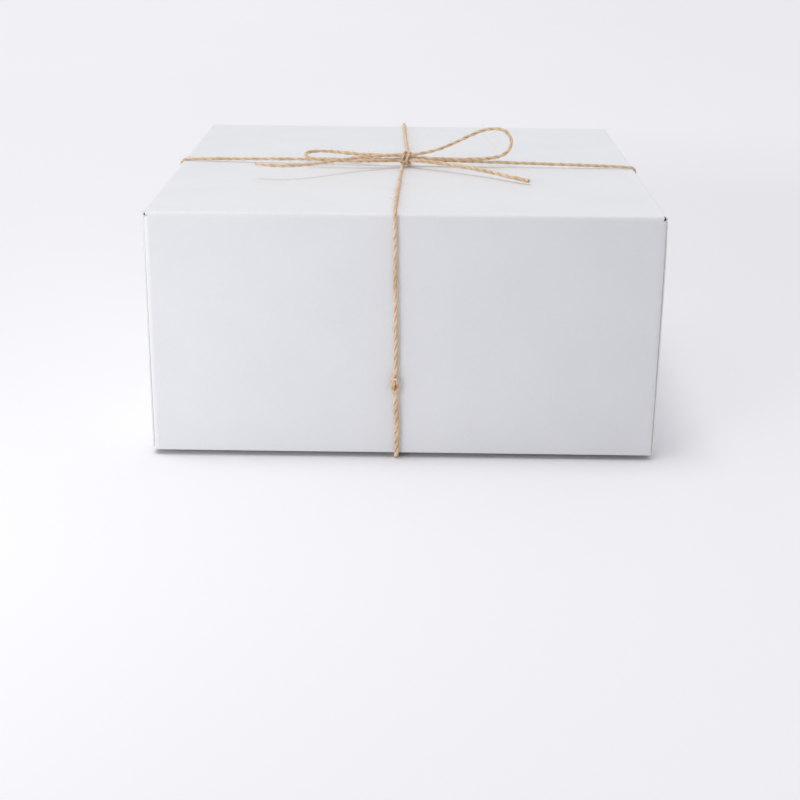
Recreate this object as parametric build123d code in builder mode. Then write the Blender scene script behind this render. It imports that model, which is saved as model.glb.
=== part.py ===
"""A square paperboard gift box with a full-depth lid, tied crosswise with jute twine.

The lid and the base tray are each folded from one blank.  A blank has a square panel,
two plain long walls with glue flaps round their ends, and two end walls that carry a
45-degree crease from each corner, so that a loose tray can be collapsed flat.  A
thumb notch at the middle of each end wall of the lid gives a grip on the base.  The
twine runs over the lid both ways, crosses under the base and ends in a bow.

Frame: the origin is the middle of the footprint on the table, +X along the front,
+Y to the back and +Z up.  All lengths are millimetres.
"""

from build123d import *
import os
from math import cos, pi, radians, sin, tan

os.makedirs("parts", exist_ok=True)

# Board and box
BOARD = 0.6  # thickness of the paperboard
FOLD = 1.2  # outer radius of a fold between a panel and a wall
CORNER_FOLD = 1.5  # outer radius of the fold between a long wall and its flap
LID_LENGTH = 203.2  # over the lid's end walls, along X
LID_WIDTH = 200.0  # over the lid's long walls, along Y
LID_TOP = 101.6  # top face of the lid above the table
LID_DEPTH = 99.4  # from the lid's top face to its lower edges
BASE_LENGTH = 196.8
BASE_WIDTH = 197.4
BASE_BOTTOM = 3.5  # underside of the base, clear of the crossed twine
BASE_DEPTH = 97.2

# Details of a tray
WALL_INSET = 1.0  # a flap starts this far inside the end wall's outer face
SETBACK = 0.9  # an end wall's free edges stop this far short of the long walls' faces
FLAP_WIDTH = 22.0  # along the end wall
FLAP_STEP = 5.0  # length over which a flap leans out to the end wall
LID_FLAP_START = 1.6  # first height of a flap above the crease
BASE_FLAP_START = 3.5  # more, so that nothing stands in the corners of the inside floor
FLAP_TAPER = 4.0  # how far a flap's free corner is cut back from the rim
RELIEF = 0.8  # radius of the hole where three creases meet
RIM_CORNER = 2.0  # rounding of an end wall's free corners
NOTCH = 12.25  # radius of the thumb notch
NOTCH_SHOULDER = 2.0

# Twine
TWINE = 1.6  # diameter
TOUCH = 0.15  # clear gap between taut twine and board
OFF_BOARD = TWINE / 2 + TOUCH  # axis of the twine from the board it lies on
EDGE_BEND = FOLD + OFF_BOARD  # bend of the twine's axis over a folded edge
RIM_BEND = 1.2  # bend under the lid's cut edge
LIFT_GAP = 0.1  # between the twine that lifts off and the twine that stays
TIGHTEST = 2.7 * TWINE  # smallest bend allowed in the bow
ARC_SHARE = 0.45  # part of the shorter run that a bend of the bow may use up
SLACK_BEND = 60.0  # where the front strand leans off its knot
KNOT = (-0.7, -5.5, 3.6)  # middle of the bow's knot, height over the lid
KNOT_LENGTH = 9.2
KNOT_RADIUS = 3.3
KNOT_END_RADIUS = 2.5
KNOT_ROUNDING = 0.45  # edge radius of a knot's ends, as a share of their radius
NOTCH_PASS = 13.2  # height at which the twine turns into the notch
FRONT_KNOT_X = -3.05
FRONT_KNOT_HEIGHT = 32.0
FRONT_KNOT = (5.6, 2.0)  # height and radius of the small knot on the front strand


class Tray:
    """One folded tray: its size, and the plane of its closed face, +Z towards the rim."""

    def __init__(self, name, length, width, depth, closed_face, turns, flap_start, notched):
        self.name = name
        self.length = length
        self.width = width
        self.depth = depth
        self.closed_face = closed_face
        self.turns = turns  # degrees round closed_face at which each wall faces
        self.flap_start = flap_start
        self.notched = notched
        self.wall_end = length / 2 - WALL_INSET

    def wall_plane(self, side):
        """Plane of a wall's outer face: x along it, y from crease to rim, z outwards."""
        reach = self.width / 2 if side in ("front", "back") else self.length / 2
        turn = Location((0, 0, 0), (0, 0, self.turns[side]))
        return Plane(self.closed_face.location * turn * Location((0, -reach, 0), (90, 0, 0)))

    def along(self, side, direction):
        """Which way (+1 or -1) a wall plane's x runs against a direction of the box."""
        return round(self.wall_plane(side).x_dir.dot(direction))


LID = Tray(
    "lid",
    LID_LENGTH,
    LID_WIDTH,
    LID_DEPTH,
    Plane((0, 0, LID_TOP), x_dir=(-1, 0, 0), z_dir=(0, 0, -1)),
    {"front": 0, "left": 90, "back": 180, "right": 270},
    LID_FLAP_START,
    True,
)
BASE = Tray(
    "base",
    BASE_LENGTH,
    BASE_WIDTH,
    BASE_DEPTH,
    Plane((0, 0, BASE_BOTTOM)),
    {"front": 0, "right": 90, "back": 180, "left": 270},
    BASE_FLAP_START,
    False,
)
ENDS = ("left", "right")
LONG = ("front", "back")
OUTWARD = {"front": (0, -1, 0), "back": (0, 1, 0), "left": (-1, 0, 0), "right": (1, 0, 0)}


def save(builder, name):
    """Label a finished piece and write its file."""
    builder.part.label = name
    export_step(builder.part, f"parts/{name}.step")


# ---------------------------------------------------------------- the board
def closed_panel(tray, name):
    """The flat square between the four creases, with a relief hole at each corner."""
    inner_length = tray.length - 2 * FOLD
    inner_width = tray.width - 2 * FOLD
    with BuildPart() as panel:
        with BuildSketch(tray.closed_face):
            Rectangle(inner_length, inner_width)
            with GridLocations(inner_length, inner_width, 2, 2):
                Circle(RELIEF, mode=Mode.SUBTRACT)
        extrude(amount=BOARD)
    save(panel, name)


def fold(face, half_run):
    """Quarter-round strip of board that joins a wall to the closed panel."""
    section = Plane(face.location * Location((0, 0, 0), (0, 90, 0)))
    with BuildPart() as strip:
        with BuildSketch(section):
            with Locations((FOLD, FOLD)):
                Circle(FOLD)
                Circle(FOLD - BOARD, mode=Mode.SUBTRACT)
                Rectangle(FOLD, FOLD, align=(Align.MAX, Align.MAX), mode=Mode.INTERSECT)
        extrude(amount=half_run, both=True)
    return strip.part


def long_wall(tray, side):
    """A plain wall with its fold, as long as the space between its flaps."""
    face = tray.wall_plane(side)
    half = tray.wall_end - CORNER_FOLD
    strip = fold(face, half)
    with BuildPart() as wall:
        with BuildSketch(face):
            with Locations((0, FOLD)):
                Rectangle(2 * half, tray.depth - FOLD, align=(Align.CENTER, Align.MIN))
        extrude(amount=-BOARD)
        add(strip)
    save(wall, f"{tray.name}_{side}_wall")


def end_outline(tray):
    """An end wall below its fold, with rounded free corners and the thumb notch."""
    with BuildSketch() as outline:
        with Locations((0, FOLD)):
            Rectangle(tray.width - 2 * SETBACK, tray.depth - FOLD, align=(Align.CENTER, Align.MIN))
        fillet(outline.vertices().group_by(Axis.Y)[-1], RIM_CORNER)
        if tray.notched:
            with Locations((0, tray.depth)):
                Circle(NOTCH, mode=Mode.SUBTRACT)
            shoulders = [v for v in outline.vertices().group_by(Axis.Y)[-1] if abs(v.X) < NOTCH + 1]
            fillet(shoulders, NOTCH_SHOULDER)
    return outline.sketch


def end_panel(tray, side):
    """The middle of an end wall, between its two 45-degree creases, with the fold."""
    face = tray.wall_plane(side)
    half = tray.width / 2
    outline = end_outline(tray)
    strip = fold(face, half - SETBACK)
    with BuildPart() as panel:
        with BuildSketch(face):
            add(outline)
            Polygon((-half, 0), (half, 0), (0, half), align=None, mode=Mode.INTERSECT)
        extrude(amount=-BOARD)
        add(strip)
    save(panel, f"{tray.name}_{side}_end_panel")


def gusset(tray, side, towards):
    """The triangle of an end wall between a 45-degree crease and the corner."""
    face = tray.wall_plane(side)
    sign = tray.along(side, Vector(OUTWARD[towards]))
    half = tray.width / 2
    outline = end_outline(tray)
    with BuildPart() as piece:
        with BuildSketch(face):
            add(outline)
            Polygon(
                (sign * half, 0),
                (sign * half, half),
                (0, half),
                align=None,
                mode=Mode.INTERSECT,
            )
        extrude(amount=-BOARD)
    save(piece, f"{tray.name}_{side}_{towards}_gusset")


def glue_flap(tray, side, towards):
    """The flap folded round a long wall's end and glued to the end wall's gusset."""
    long_face = tray.wall_plane(towards)
    end_face = tray.wall_plane(side)
    out = tray.along(towards, Vector(OUTWARD[side]))
    sign = tray.along(side, Vector(OUTWARD[towards]))
    bend = tray.wall_end - CORNER_FOLD
    glued = tray.length / 2 - BOARD
    half = tray.width / 2
    start = tray.flap_start

    def ring(radius, degrees):
        """Point on the corner fold; x along the long wall, y into the box."""
        angle = radians(degrees)
        return (out * (bend + radius * sin(angle)), CORNER_FOLD - radius * cos(angle))

    # The section is drawn looking from the closed face to the rim.
    section = Plane(long_face.location * Location((0, start, 0), (-90, 0, 0)))
    with BuildPart() as flap:
        with BuildSketch(section):
            with BuildLine():
                outer = ThreePointArc(*(ring(CORNER_FOLD, a) for a in (0, 45, 90)))
                inner = ThreePointArc(*(ring(CORNER_FOLD - BOARD, a) for a in (0, 45, 90)))
                Polyline(
                    outer @ 1,
                    (out * glued, FLAP_STEP),
                    (out * glued, FLAP_WIDTH),
                    (out * (glued - BOARD), FLAP_WIDTH),
                    (out * (glued - BOARD), FLAP_STEP),
                    inner @ 1,
                )
                Line(outer @ 0, inner @ 0)
            make_face()
        extrude(amount=tray.depth - start)
        with BuildSketch(end_face):
            Polygon(
                (sign * (half + 1), start),
                (sign * (half - CORNER_FOLD), start),
                (sign * (half - FLAP_WIDTH), start + FLAP_WIDTH),
                (sign * (half - FLAP_WIDTH), tray.depth - FLAP_TAPER),
                (sign * (half - CORNER_FOLD), tray.depth),
                (sign * (half + 1), tray.depth),
                align=None,
            )
        extrude(amount=-2 * WALL_INSET - BOARD, mode=Mode.INTERSECT)
    save(flap, f"{tray.name}_{towards}_{side}_flap")


def build_tray(tray, panel_name):
    """All the panels of one blank."""
    closed_panel(tray, panel_name)
    for side in LONG:
        long_wall(tray, side)
    for side in ENDS:
        end_panel(tray, side)
        for towards in LONG:
            gusset(tray, side, towards)
            glue_flap(tray, side, towards)


# ---------------------------------------------------------------- the twine
def over_lid(points):
    """Route points whose height is given over the lid's top face."""
    return [Vector(x, y, LID_TOP + height) for x, y, height in points]


def easy_bends(points):
    """The radius for each inner point of a loose route: as large as its runs allow."""
    radii = []
    for before, here, after in zip(points, points[1:], points[2:]):
        turn = (here - before).get_angle(after - here)
        shorter = min((here - before).length, (after - here).length)
        radii.append(ARC_SHARE * shorter / tan(radians(turn / 2)))
    return radii


def strand(name, points, bends):
    """A length of twine along straight runs joined by tangent arcs."""
    with BuildPart() as cord:
        with BuildLine():
            path = FilletPolyline(*points, radius=bends)
        with BuildSketch(Plane(path @ 0, z_dir=path % 0)):
            Circle(TWINE / 2)
        sweep()
    share = cord.part.volume / (pi * (TWINE / 2) ** 2 * path.length)
    print(f"{name}: {path.length:.1f} long, volume {share:.4f} of section x length")
    save(cord, name)


def bow_cord(name, heights_over_lid):
    """A free loop or tail of the bow, from its route over the lid."""
    points = over_lid(heights_over_lid)
    radii = easy_bends(points)
    print(f"{name}: bends {[round(r, 1) for r in radii]}")
    if min(radii) < TIGHTEST:
        print(f"{name}: a bend is under {TIGHTEST}")
    strand(name, points, radii)


ON_LID = LID_TOP + OFF_BOARD
FRONT = -LID_WIDTH / 2 - OFF_BOARD
BACK = -FRONT
RIGHT = LID_LENGTH / 2 + OFF_BOARD
LEFT = -RIGHT
RIM_PASS = LID_TOP - LID_DEPTH + RIM_BEND  # where the long walls' twine parts from the rest
ON_TABLE = TWINE / 2
UNDER_BASE = BASE_BOTTOM - RIM_BEND
BESIDE_BASE = BASE_LENGTH / 2 + RIM_BEND
OVER_CROSSING = ON_TABLE + TWINE + TOUCH
CROSSING_ON_LID = ON_LID + TWINE + TOUCH


def wrap_over_lid():
    """The four taut strands from the bow's knot over the lid and down its walls."""
    strand(
        "twine_front",
        [
            (-2.0, -8.0, ON_LID),
            (-3.75, FRONT, ON_LID),
            (FRONT_KNOT_X, FRONT, FRONT_KNOT_HEIGHT),
            (-2.5, FRONT, RIM_PASS + LIFT_GAP),
        ],
        [EDGE_BEND, SLACK_BEND],
    )
    strand(
        "twine_back",
        [(1.3, -3.4, ON_LID), (-2.3, BACK, ON_LID), (-2.0, BACK, RIM_PASS + LIFT_GAP)],
        [EDGE_BEND],
    )
    strand(
        "twine_left",
        [(-3.5, -3.9, CROSSING_ON_LID), (LEFT, 2.6, ON_LID), (LEFT, 0, NOTCH_PASS + LIFT_GAP)],
        [EDGE_BEND],
    )
    strand(
        "twine_right",
        [(1.6, -3.2, CROSSING_ON_LID), (RIGHT, -6.1, ON_LID), (RIGHT, -2.0, NOTCH_PASS + LIFT_GAP)],
        [EDGE_BEND],
    )


def wrap_under_base():
    """The crossed strands that the box stands on, with their bends at the lid's rim."""
    strand(
        "twine_under_along",
        [(-2.5, FRONT, RIM_PASS), (-2.5, FRONT, ON_TABLE), (-2.0, BACK, ON_TABLE), (-2.0, BACK, RIM_PASS)],
        [RIM_BEND, RIM_BEND],
    )
    strand(
        "twine_under_across",
        [
            (LEFT, 0, NOTCH_PASS),
            (LEFT, 0, 10.8),
            (-BESIDE_BASE, 0, 7.2),
            (-BESIDE_BASE, 0, UNDER_BASE),
            (-91, 0, UNDER_BASE),
            (-76, -0.5, ON_TABLE),
            (-16, -3.5, ON_TABLE),
            (-5, -4.1, OVER_CROSSING),
            (5, -4.5, OVER_CROSSING),
            (16, -4.7, ON_TABLE),
            (76, -2.8, ON_TABLE),
            (91, -2.0, UNDER_BASE),
            (BESIDE_BASE, -2.0, UNDER_BASE),
            (BESIDE_BASE, -2.0, 7.2),
            (RIGHT, -2.0, 10.8),
            (RIGHT, -2.0, NOTCH_PASS),
        ],
        [2, 2, 2.4, 12, 20, 20, 12, 12, 20, 20, 12, 2.4, 2, 2],
    )


def lump(name, plane, length, middle_radius, end_radius):
    """A knot: a barrel turned about the plane's x axis, with rounded ends."""
    with BuildPart() as knot:
        with BuildSketch(plane):
            with BuildLine():
                side = ThreePointArc((-length / 2, end_radius), (0, middle_radius), (length / 2, end_radius))
                Polyline(side @ 1, (length / 2, 0), (-length / 2, 0), side @ 0)
            make_face()
        revolve(axis=Axis(plane.origin, plane.x_dir))
        ends = knot.edges().filter_by(GeomType.CIRCLE).filter_by(Plane(plane.origin, z_dir=plane.x_dir))
        fillet(ends, end_radius * KNOT_ROUNDING)
    save(knot, name)


def knots():
    """The bow's knot and the small knot that joins two lengths of twine in front."""
    lump("bow_knot", Plane(over_lid([KNOT])[0]), KNOT_LENGTH, KNOT_RADIUS, KNOT_END_RADIUS)
    height, radius = FRONT_KNOT
    middle = (FRONT_KNOT_X, FRONT - (radius - TWINE / 2), FRONT_KNOT_HEIGHT)
    upright = Plane(middle, x_dir=(0, 0, 1), z_dir=(0, -1, 0))
    lump("front_knot", upright, height, radius, TWINE / 2 + 0.3)


def bow():
    """Two loops and two loose tails; heights are over the lid's top face."""
    bow_cord(
        "bow_loop_right",
        [
            (2.2, -6.2, 5.2),
            (10.5, -4.2, 6.2),
            (19.5, -2.1, 9.2),
            (27.5, -0.5, 12.9),
            (34.0, 0.7, 15.5),
            (39.3, 1.1, 16.3),
            (44.2, 0.4, 15.4),
            (46.9, -1.3, 12.0),
            (46.4, -3.3, 8.0),
            (42.9, -4.9, 5.2),
            (37.6, -5.7, 4.0),
            (30.0, -5.8, 3.5),
            (21.0, -5.7, 3.4),
            (12.0, -5.3, 3.6),
            (2.4, -4.8, 3.6),
        ],
    )
    bow_cord(
        "bow_loop_left",
        [
            (-3.6, -4.6, 4.7),
            (-12.5, -3.6, 4.5),
            (-21.5, -0.4, 4.2),
            (-29.0, 4.2, 4.1),
            (-35.6, 8.0, 3.9),
            (-40.8, 9.0, 3.8),
            (-44.8, 6.0, 3.8),
            (-46.0, 0.7, 3.8),
            (-44.8, -5.0, 3.6),
            (-40.6, -8.4, 3.3),
            (-34.0, -9.6, 3.0),
            (-26.0, -9.5, 2.9),
            (-15.5, -9.7, 3.0),
            (-4.0, -7.5, 3.0),
        ],
    )
    bow_cord(
        "bow_tail_left",
        [
            (-3.4, -7.2, 5.4),
            (-11.5, -11.0, 5.7),
            (-20.0, -15.8, 5.8),
            (-28.5, -21.6, 5.6),
            (-36.5, -28.2, 5.5),
            (-44.5, -34.4, 5.7),
            (-53.0, -37.6, 5.9),
            (-59.8, -37.2, 6.1),
            (-64.3, -34.9, 6.4),
        ],
    )
    bow_cord(
        "bow_tail_right",
        [
            (2.4, -7.6, 3.2),
            (10.5, -12.6, 3.5),
            (18.8, -16.8, 3.3),
            (27.2, -22.6, 3.0),
            (35.8, -28.7, 2.6),
            (44.2, -35.9, 2.0),
            (51.9, -42.2, 1.5),
        ],
    )


build_tray(BASE, "base_floor_panel")
build_tray(LID, "lid_top_panel")
wrap_over_lid()
wrap_under_base()
knots()
bow()
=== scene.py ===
"""White paperboard gift box tied with jute twine: its looks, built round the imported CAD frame.

Every length is in metres, in the frame of the CAD model: +X runs along the plain front
wall, +Y to the back and +Z up, and the box stands on z = 0 on its own crossed twine.
Each panel of board and each stretch of twine is a mesh of its own that stands for one
CAD node and rides on that node's body.
"""

import bmesh
import bpy
import numpy as np
from math import asin, cos, exp, pi, radians, sin, sqrt
from mathutils import Euler, Matrix, Vector, noise


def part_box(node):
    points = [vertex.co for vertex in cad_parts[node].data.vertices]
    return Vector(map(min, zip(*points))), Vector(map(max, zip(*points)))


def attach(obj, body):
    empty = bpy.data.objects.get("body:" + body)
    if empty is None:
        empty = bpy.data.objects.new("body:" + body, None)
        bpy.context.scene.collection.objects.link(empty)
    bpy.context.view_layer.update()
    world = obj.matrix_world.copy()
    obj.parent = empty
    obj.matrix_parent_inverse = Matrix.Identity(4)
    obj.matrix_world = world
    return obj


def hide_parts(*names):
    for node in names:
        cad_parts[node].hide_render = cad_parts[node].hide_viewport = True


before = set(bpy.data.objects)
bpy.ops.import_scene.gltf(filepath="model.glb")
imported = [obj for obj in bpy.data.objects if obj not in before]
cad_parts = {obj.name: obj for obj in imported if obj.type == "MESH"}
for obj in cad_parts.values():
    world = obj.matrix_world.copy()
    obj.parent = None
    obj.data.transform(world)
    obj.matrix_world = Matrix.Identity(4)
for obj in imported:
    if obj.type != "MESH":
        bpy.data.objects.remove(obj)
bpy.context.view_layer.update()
MM = 0.001

# ------------------------------ sizes
# Board, as in the CAD model
BOARD = 0.6 * MM
FOLD = 1.2 * MM  # outer radius of a fold
FOLD_RUN = FOLD * pi / 2  # length of board round the outside of a fold
RELIEF = 0.5 * MM  # radius of the nick where three creases meet
RIM_CORNER = 2.0 * MM
NOTCH = 12.25 * MM
NOTCH_SHOULDER = 2.0 * MM
GLUE = 0.04 * MM  # between a flap and the end wall it is stuck to
FLAP_WIDTH = 22.0 * MM
FLAP_TAPER = 4.0 * MM
LID_FLAP_START = 1.7 * MM  # from the closed face to the top of a flap
BASE_FLAP_START = 3.5 * MM

# Corners, for the left and the right end of the box
SETBACK = {"left": 0.55 * MM, "right": 0.9 * MM}  # from a long wall's face to the end of an end wall's fold
CORNER_GAP = {"left": 1.2 * MM, "right": 1.5 * MM}  # from an end wall's face to the end of a long wall's fold
CORNER_RUN = 1.6 * MM  # below an end wall's fold, where its free edge reaches the corner's fold
CORNER_FOLD = {"left": (1.9 * MM, 1.2 * MM), "right": (1.4 * MM, 1.0 * MM)}  # radius: closed face, rim
FLARE = {"left": 0.85 * MM, "right": 1.25 * MM}  # how far the corners of an end wall stand out at its rim
FLARE_RUN = 25 * MM  # depth over which most of the flare comes
FLAP_FREE = 7 * MM  # from the corner to where a flap is stuck down
GAPE = 0.09  # share of the flare by which the wall's edge stands off its flap

# Relief
CREASE_DEPTH = 0.16 * MM
CREASE_WIDTH = 0.9 * MM
WAVE = 0.22 * MM  # height of a wall's random waves
BOW_IN = 0.16 * MM  # how far the middle of a wall bends in
SAG = 0.22 * MM  # how far the middle of a closed panel sinks
SAG_WAVE = 0.14 * MM
EDGE_ROUND = 0.09 * MM  # softness of a cut edge
GRID = 4.0 * MM  # mesh spacing on a wall
PANEL_GRID = 5.0 * MM
FLAP_GRID = 3.0 * MM

# Twine
LAY = 8.0 * MM  # length of one full turn of the two plies
STEP = 0.4 * MM  # spacing of the rings of a ply
SECTION = 14  # points round a ply
PLY_OFF = 0.33 * MM  # from the twine's middle to a ply's middle
PLY_WIDE = 0.52 * MM
PLY_THICK = 0.45 * MM
FIBRE_LAY = 5.0 * MM  # length of one turn of the fibres round a ply
UV_RUN = 40 * MM  # length of twine that one unit of the fibre pattern covers
TABLE_GAP = 0.02 * MM  # between the twine and the table
PARTING_ALONG = 3.45 * MM  # height at which the run over the front and back is parted
PARTING_ACROSS = 13.25 * MM

# Loose fibres; the fuzz is how many short and how many long ones there are to a millimetre
TAUT_FUZZ = (7.0, 0.9)
BOW_FUZZ = (7.0, 1.3)
KNOT_FUZZ = (8.0, 3.0)
ROOT = 0.55 * MM  # from the twine's middle to where they start
BRUSH_COUNT = 70
BRUSH_RADIUS = 0.75 * MM
THINNEST, THICKEST = 0.014 * MM, 0.036 * MM
LONG_FATTER = 1.7  # how many times thicker the long ones are
SHORT_STEPS, LONG_STEPS = 4, 8
FIBRE_GAP = 0.06 * MM  # between a fibre and the board or the table


def corners(*nodes):
    """Lowest and highest corner of several CAD nodes together."""
    boxes = [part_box(n) for n in nodes]
    low = Vector([min(b[0][k] for b in boxes) for k in range(3)])
    high = Vector([max(b[1][k] for b in boxes) for k in range(3)])
    return low, high


LID_LOW, LID_HIGH = corners("lid_top_panel", "lid_front_wall", "lid_back_wall", "lid_left_end_panel",
                            "lid_right_end_panel")
BASE_LOW, BASE_HIGH = corners("base_floor_panel", "base_front_wall", "base_back_wall",
                              "base_left_end_panel", "base_right_end_panel")
ON_LID = LID_HIGH.z


# ------------------------------ materials
class Nodes:
    """Short calls for building a material's node tree."""

    def __init__(self, name):
        self.material = bpy.data.materials.new(name)
        self.material.use_nodes = True
        self.tree = self.material.node_tree
        self.tree.nodes.clear()
        self.shader = self.add("BsdfPrincipled")
        out = self.add("OutputMaterial")
        self.link(self.shader.outputs["BSDF"], out.inputs["Surface"])

    def add(self, kind, **values):
        """A new node; each value is for a property or a socket of that name."""
        node = self.tree.nodes.new("ShaderNode" + kind)
        for key, value in values.items():
            if hasattr(node, key):
                setattr(node, key, value)
            else:
                node.inputs[key].default_value = value
        return node

    def link(self, a, b):
        self.tree.links.new(a, b)

    def set(self, **values):
        """Constant values straight on the shader, named with _ for spaces."""
        for key, value in values.items():
            self.shader.inputs[key.replace("_", " ")].default_value = value

    def place(self, source="Object"):
        return self.add("TexCoord").outputs[source]

    def scaled(self, vector, scale):
        node = self.add("Mapping", Scale=scale)
        self.link(vector, node.inputs["Vector"])
        return node.outputs["Vector"]

    def noise(self, vector, scale, detail=2.0, roughness=0.5, distortion=0.0):
        node = self.add("TexNoise", Scale=scale, Detail=detail, Roughness=roughness, Distortion=distortion)
        self.link(vector, node.inputs["Vector"])
        return node.outputs["Fac"]

    def ramp(self, factor, *stops):
        """Colour ramp; each stop is (place, (r, g, b)) or (place, grey)."""
        node = self.add("ValToRGB")
        ramp = node.color_ramp
        while len(ramp.elements) < len(stops):
            ramp.elements.new(0.5)
        for element, (at, colour) in zip(ramp.elements, stops):
            grey = isinstance(colour, (int, float))
            element.position = at
            element.color = (colour,) * 3 + (1,) if grey else (*colour, 1)
        self.link(factor, node.inputs["Fac"])
        return node.outputs["Color"]

    def mix(self, kind, factor, a, b):
        node = self.add("MixRGB", blend_type=kind)
        for socket, value in ((node.inputs["Fac"], factor), (node.inputs[1], a), (node.inputs[2], b)):
            if isinstance(value, bpy.types.NodeSocket):
                self.link(value, socket)
            elif isinstance(value, (int, float)):
                socket.default_value = value
            else:
                socket.default_value = (*value, 1)
        return node.outputs["Color"]

    def attribute(self, name):
        return self.add("Attribute", attribute_name=name).outputs["Fac"]

    def bump(self, height, distance, strength=1.0, below=None):
        node = self.add("Bump", Distance=distance, Strength=strength)
        self.link(height, node.inputs["Height"])
        if below is not None:
            self.link(below, node.inputs["Normal"])
        return node.outputs["Normal"]

    def finish(self, colour, roughness, normal):
        self.link(colour, self.shader.inputs["Base Color"])
        self.link(roughness, self.shader.inputs["Roughness"])
        self.link(normal, self.shader.inputs["Normal"])
        return self.material


def board_face():
    """The coated white face: very fine grain, faint cloudiness, and paler at the folds, partly bared coating
    and partly a painted highlight.
    """
    m = Nodes("board_face")
    at = m.place()
    cloud = m.noise(at, 38, detail=4, roughness=0.6)
    mottle = m.noise(at, 900, detail=3, roughness=0.6)
    grain = m.noise(at, 3600, detail=2)
    fold = m.attribute("fold")
    colour = m.ramp(cloud, (0.3, (0.778, 0.788, 0.811)), (0.7, (0.803, 0.812, 0.833)))
    colour = m.mix("MULTIPLY", 1.0, colour, m.ramp(mottle, (0.25, 0.975), (0.75, 1.0)))
    # paler where the fold attribute is high, broken by noise: partly cracked coating, partly a painted
    # highlight along the folds
    crack = m.ramp(m.noise(at, 2200, detail=3), (0.45, 0.0), (0.75, 1.0))
    colour = m.mix("MIX", m.mix("MULTIPLY", 1.0, fold, crack), colour, (0.87, 0.87, 0.875))
    rough = m.ramp(m.noise(at, 120, detail=3), (0.3, 0.50), (0.7, 0.60))
    peel = m.bump(m.noise(at, 420, detail=2), 0.03 * MM, 0.5)
    normal = m.bump(grain, 0.012 * MM, 0.55, below=peel)
    m.set(IOR=1.46, Specular_IOR_Level=0.38, Sheen_Weight=0.04, Sheen_Roughness=0.5)
    return m.finish(colour, rough, normal)


def board_back():
    """The uncoated inner face: a touch warmer and rougher, with short fibres."""
    m = Nodes("board_back")
    at = m.place()
    fibres = m.noise(m.scaled(at, (700, 2100, 1400)), 1.0, detail=4, roughness=0.65, distortion=0.8)
    fleck = m.noise(at, 1500, detail=2)
    colour = m.ramp(fibres, (0.3, (0.735, 0.735, 0.732)), (0.7, (0.785, 0.783, 0.778)))
    colour = m.mix("MULTIPLY", 1.0, colour, m.ramp(fleck, (0.22, 0.90), (0.36, 1.0)))
    normal = m.bump(fibres, 0.03 * MM, 0.6)
    m.set(IOR=1.45, Specular_IOR_Level=0.25, Sheen_Weight=0.08, Sheen_Roughness=0.6)
    return m.finish(colour, m.ramp(fleck, (0.3, 0.78), (0.7, 0.88)), normal)


def board_edge():
    """A cut edge: felted layers of white fibre."""
    m = Nodes("board_edge")
    at = m.place()
    fibres = m.noise(at, 5200, detail=3, roughness=0.7)
    colour = m.ramp(fibres, (0.3, (0.76, 0.755, 0.745)), (0.7, (0.86, 0.855, 0.845)))
    m.set(IOR=1.45, Specular_IOR_Level=0.2, Sheen_Weight=0.1, Sheen_Roughness=0.6)
    return m.finish(colour, m.ramp(fibres, (0.3, 0.8), (0.7, 0.92)), m.bump(fibres, 0.06 * MM, 0.8))


def jute():
    """Twisted jute: long pale and brown fibres that run round each ply, with painted shade darkening the side
    of each ply that faces the other, and the inside of the knots.
    """
    m = Nodes("jute")
    along = m.place("UV")
    fibres = m.noise(m.scaled(along, (34, 9, 1)), 1.0, detail=5, roughness=0.72, distortion=0.3)
    fine = m.noise(m.scaled(along, (120, 26, 1)), 1.0, detail=3, roughness=0.65)
    patches = m.noise(m.place(), 120, detail=3, roughness=0.65)
    colour = m.ramp(fibres, (0.30, (0.50, 0.32, 0.17)), (0.43, (0.87, 0.64, 0.43)),
                    (0.54, (1.0, 0.82, 0.61)), (0.68, (1.0, 0.94, 0.82)))
    colour = m.mix("MULTIPLY", 1.0, colour, m.ramp(patches, (0.34, (0.85, 0.75, 0.63)), (0.58, 1.0)))
    colour = m.mix("MULTIPLY", 1.0, colour, m.ramp(fine, (0.32, 0.77), (0.6, 1.0)))
    # painted shade: a dark brown mixed in where the plies press together and inside the knots
    colour = m.mix("MULTIPLY", m.attribute("hollow"), colour, (0.59, 0.39, 0.24))
    height = m.mix("ADD", 0.5, fibres, fine)
    m.set(IOR=1.45, Specular_IOR_Level=0.25, Sheen_Weight=0.35, Sheen_Roughness=0.45)
    m.shader.inputs["Sheen Tint"].default_value = (0.98, 0.88, 0.76, 1)
    return m.finish(colour, m.ramp(fine, (0.3, 0.72), (0.7, 0.9)), m.bump(height, 0.07 * MM, 0.9))


def jute_hair():
    """Loose fibres that stand off the twine."""
    m = Nodes("jute_hair")
    shade = m.noise(m.place(), 420, detail=2)
    colour = m.ramp(shade, (0.3, (0.76, 0.56, 0.37)), (0.55, (0.93, 0.77, 0.58)), (0.75, (0.98, 0.90, 0.76)))
    m.set(IOR=1.45, Specular_IOR_Level=0.3, Sheen_Weight=0.1)
    return m.finish(colour, m.ramp(shade, (0.3, 0.55), (0.7, 0.7)), m.bump(shade, 0.01 * MM, 0.2))


BOARD_LOOKS = [board_face(), board_back(), board_edge()]
FACE, BACK, CUT = range(3)
JUTE = jute()
HAIR = jute_hair()


def new_object(name, data, looks=()):
    """An object in the scene, with its materials in the order of their indices."""
    piece = bpy.data.objects.new(name, data)
    bpy.context.scene.collection.objects.link(piece)
    for look in looks:
        data.materials.append(look)
    return piece


def stands_for(piece, body, slot, *nodes):
    """Say which body a piece rides on and the CAD nodes that it replaces; slot is not used."""
    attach(piece, body)
    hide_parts(*nodes)


# ------------------------------ board
def arc(centre, radius, start, stop, steps):
    """Points on an arc, angles in degrees."""
    angles = [radians(start + (stop - start) * k / steps) for k in range(steps + 1)]
    return [(centre[0] + radius * cos(a), centre[1] + radius * sin(a)) for a in angles]


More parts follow.
